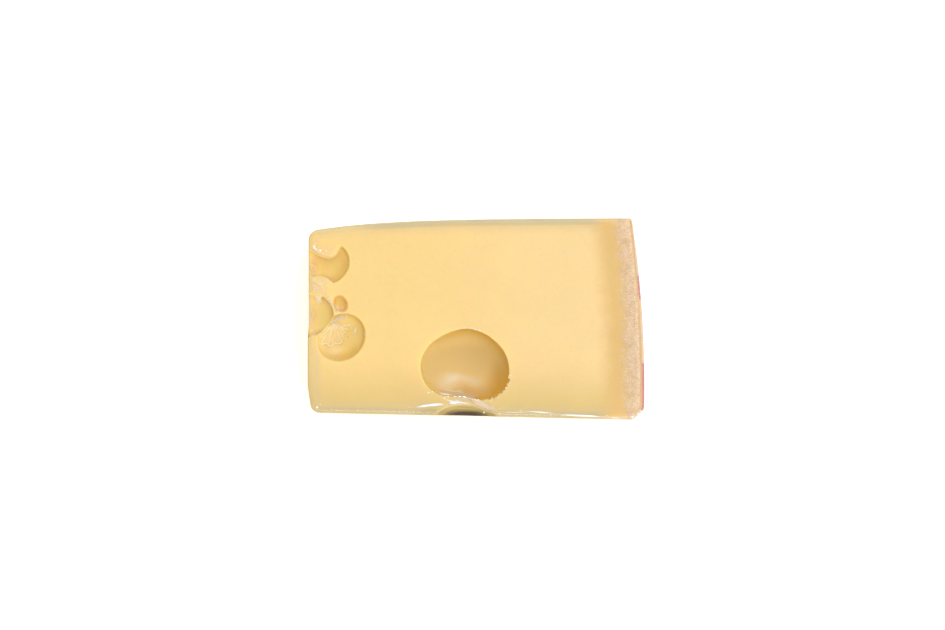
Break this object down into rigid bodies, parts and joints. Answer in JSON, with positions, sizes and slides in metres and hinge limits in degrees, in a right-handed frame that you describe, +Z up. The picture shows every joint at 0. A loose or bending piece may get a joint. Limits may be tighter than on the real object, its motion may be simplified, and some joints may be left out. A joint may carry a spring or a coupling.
{
  "type": "emmental cheese",
  "caption": "Slab of pale yellow cheese with round eyes and a rind end, sealed in clear shrink film, lying on its back with the cut face up.",
  "frame": {"origin": "middle of the underside's bounding box", "axes": "+X along the length towards the rind, +Y across the width, +Z up out of the large cut face"},
  "size_m": [0.1219, 0.0724, 0.032],
  "materials": {
    "paste": "smooth pale yellow cheese, slightly see-through, with a golden band and grainy pale rind at one end",
    "film": "clear shiny shrink film, shrunk tight, with fine folds over the eyes"
  },
  "bodies": {
    "root": {"cheese": "paste"}
  },
  "joints": []
}
